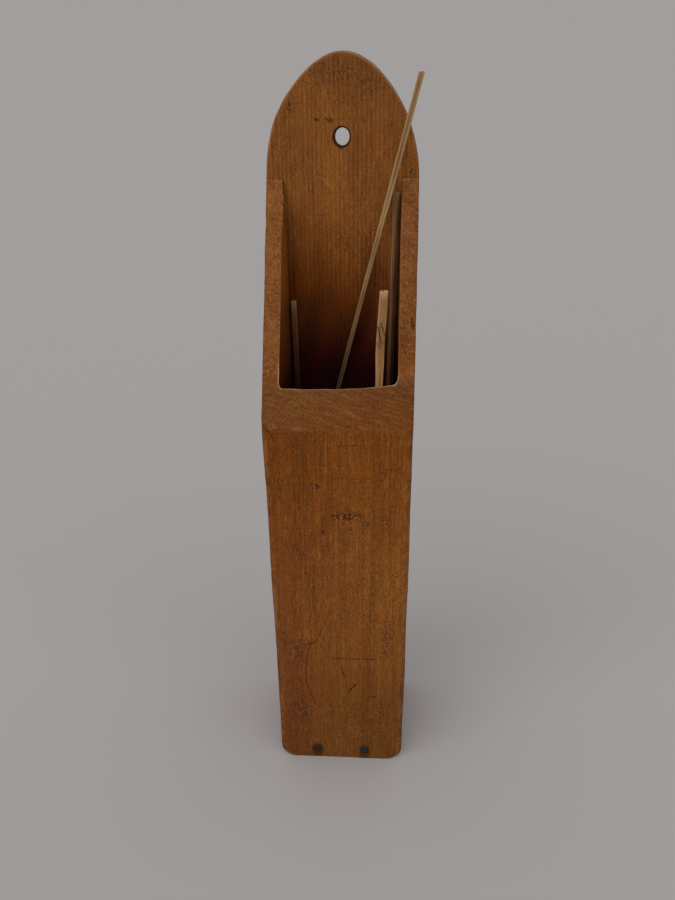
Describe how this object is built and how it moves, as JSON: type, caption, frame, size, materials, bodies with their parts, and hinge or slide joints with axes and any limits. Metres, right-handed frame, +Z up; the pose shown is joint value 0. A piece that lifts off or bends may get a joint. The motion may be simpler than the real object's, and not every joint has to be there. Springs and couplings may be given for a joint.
{
  "type": "spill holder",
  "caption": "Hand-carved wooden wall pocket with an arched hanging board and a slanted mouth, holding loose wooden spills for lighting a fire.",
  "frame": {"origin": "middle of the flat underside", "axes": "+X right as seen from the front, +Y towards the wall, +Z up along the back board"},
  "size_m": [0.0758, 0.067, 0.3645],
  "materials": {
    "body_wood": "old waxed wood, worn at the edges",
    "plug_wood": "plain sawn wood, darkened",
    "nail_iron": "dark iron, slightly rusted",
    "long_spill_wood": "split wood, dry",
    "pale_spill_wood": "rough sawn pale wood",
    "grey_spill_wood": "weathered wood",
    "dark_spill_wood": "aged dark wood"
  },
  "bodies": {
    "holder": {"carved_body": "body_wood", "base_plug": "plug_wood", "front_nail_right": "nail_iron", "front_nail_left": "nail_iron", "side_nail_right": "nail_iron", "side_nail_left": "nail_iron"},
    "long_spill": {"long_spill": "long_spill_wood"},
    "pale_spill": {"pale_spill": "pale_spill_wood"},
    "grey_spill": {"grey_spill": "grey_spill_wood"},
    "dark_spill": {"dark_spill": "dark_spill_wood"}
  },
  "joints": [
    {"name": "long_spill_lift", "type": "slide", "parent": "holder", "child": "long_spill", "axis": [0.2554, -0.0079, 0.9668], "range_m": [0, 0.2]},
    {"name": "pale_spill_lift", "type": "slide", "parent": "holder", "child": "pale_spill", "axis": [0.0434, -0.1111, 0.9929], "range_m": [0, 0.23]},
    {"name": "grey_spill_lift", "type": "slide", "parent": "holder", "child": "grey_spill", "axis": [0.0113, 0, 0.9999], "range_m": [0, 0.3]},
    {"name": "dark_spill_lift", "type": "slide", "parent": "holder", "child": "dark_spill", "axis": [-0.0192, 0, 0.9998], "range_m": [0, 0.3]}
  ]
}
